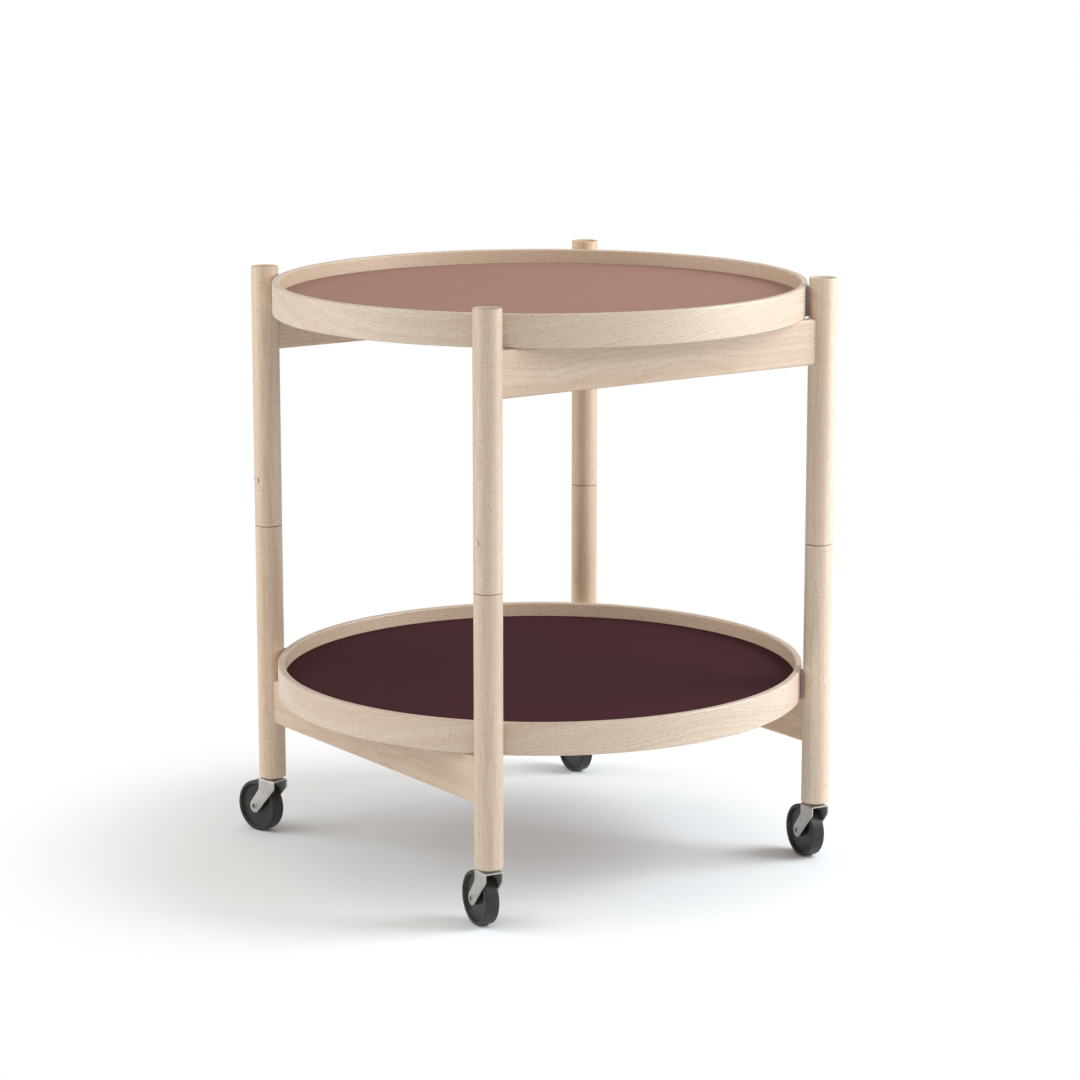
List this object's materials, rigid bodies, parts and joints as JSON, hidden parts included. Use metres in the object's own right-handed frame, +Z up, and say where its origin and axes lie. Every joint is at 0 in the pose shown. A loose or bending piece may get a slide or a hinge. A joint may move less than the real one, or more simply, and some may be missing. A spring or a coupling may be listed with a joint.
{
  "type": "tray table",
  "caption": "Round tray table on swivel casters: lift-out laminated trays in beech hoops, stacked on the rails of a split-post folding frame.",
  "frame": {"origin": "on the floor, under the middle of the square of posts", "axes": "+Z up; +X along the upper rails, from the front and left posts to the right and back posts; +Y along the lower rails"},
  "size_m": [0.5, 0.5, 0.557],
  "materials": {
    "beech": "untreated, fine sanded",
    "rose_laminate": "matte",
    "burgundy_laminate": "matte",
    "panel_core": "raw board",
    "pin_steel": "ground",
    "dark_fibre": "matte",
    "bumper_rubber": "matte",
    "socket_nylon": "matte",
    "zinc_steel": "zinc plated, satin",
    "wheel_black": "satin"
  },
  "bodies": {
    "frame": {"upper_post_front": "beech", "lower_post_front": "beech", "upper_post_right": "beech", "lower_post_right": "beech", "upper_post_back": "beech", "lower_post_back": "beech", "upper_post_left": "beech", "lower_post_left": "beech", "upper_rail_front_right": "beech", "upper_rail_left_back": "beech", "lower_rail_right_back": "beech", "lower_rail_left_front": "beech", "cross_pegs": "beech", "pivot_pin_front": "pin_steel", "pivot_pin_right": "pin_steel", "pivot_pin_back": "pin_steel", "pivot_pin_left": "pin_steel", "pivot_washers": "dark_fibre", "upper_tray_bumpers": "bumper_rubber", "lower_tray_bumpers": "bumper_rubber", "caster_sockets": "socket_nylon"},
    "upper_tray": {"upper_tray_hoop": "beech", "upper_tray_core": "panel_core", "upper_tray_top_laminate": "rose_laminate", "upper_tray_under_laminate": "burgundy_laminate"},
    "lower_tray": {"lower_tray_hoop": "beech", "lower_tray_core": "panel_core", "lower_tray_top_laminate": "burgundy_laminate", "lower_tray_under_laminate": "rose_laminate"},
    "caster_front": {"caster_stem_front": "zinc_steel", "caster_fork_front": "zinc_steel", "wheel_axle_front": "zinc_steel"},
    "rolling_wheel_front": {"wheel_front": "wheel_black"},
    "caster_right": {"caster_stem_right": "zinc_steel", "caster_fork_right": "zinc_steel", "wheel_axle_right": "zinc_steel"},
    "rolling_wheel_right": {"wheel_right": "wheel_black"},
    "caster_back": {"caster_stem_back": "zinc_steel", "caster_fork_back": "zinc_steel", "wheel_axle_back": "zinc_steel"},
    "rolling_wheel_back": {"wheel_back": "wheel_black"},
    "caster_left": {"caster_stem_left": "zinc_steel", "caster_fork_left": "zinc_steel", "wheel_axle_left": "zinc_steel"},
    "rolling_wheel_left": {"wheel_left": "wheel_black"}
  },
  "joints": [
    {"name": "upper_tray_lift", "type": "slide", "parent": "frame", "child": "upper_tray", "axis": [0, 0, 1], "range_m": [0, 0.15]},
    {"name": "lower_tray_lift", "type": "slide", "parent": "frame", "child": "lower_tray", "axis": [0, 0, 1], "range_m": [0, 0.288]},
    {"name": "caster_swivel_front", "type": "hinge", "parent": "frame", "child": "caster_front", "pos_m": [-0.18738, -0.18738, 0.057], "axis": [0, 0, 1], "continuous": true},
    {"name": "wheel_spin_front", "type": "hinge", "parent": "caster_front", "child": "rolling_wheel_front", "pos_m": [-0.18502, -0.17055, 0.025], "axis": [-0.9903, 0.1392, 0], "continuous": true},
    {"name": "caster_swivel_right", "type": "hinge", "parent": "frame", "child": "caster_right", "pos_m": [0.18738, -0.18738, 0.057], "axis": [0, 0, 1], "continuous": true},
    {"name": "wheel_spin_right", "type": "hinge", "parent": "caster_right", "child": "rolling_wheel_right", "pos_m": [0.19004, -0.17059, 0.025], "axis": [-0.9877, 0.1564, 0], "continuous": true},
    {"name": "caster_swivel_back", "type": "hinge", "parent": "frame", "child": "caster_back", "pos_m": [0.18738, 0.18738, 0.057], "axis": [0, 0, 1], "continuous": true},
    {"name": "wheel_spin_back", "type": "hinge", "parent": "caster_back", "child": "rolling_wheel_back", "pos_m": [0.18887, 0.20432, 0.025], "axis": [-0.9962, 0.0872, 0], "continuous": true},
    {"name": "caster_swivel_left", "type": "hinge", "parent": "frame", "child": "caster_left", "pos_m": [-0.18738, 0.18738, 0.057], "axis": [0, 0, 1], "continuous": true},
    {"name": "wheel_spin_left", "type": "hinge", "parent": "caster_left", "child": "rolling_wheel_left", "pos_m": [-0.19121, 0.20395, 0.025], "axis": [-0.9744, -0.225, 0], "continuous": true}
  ]
}
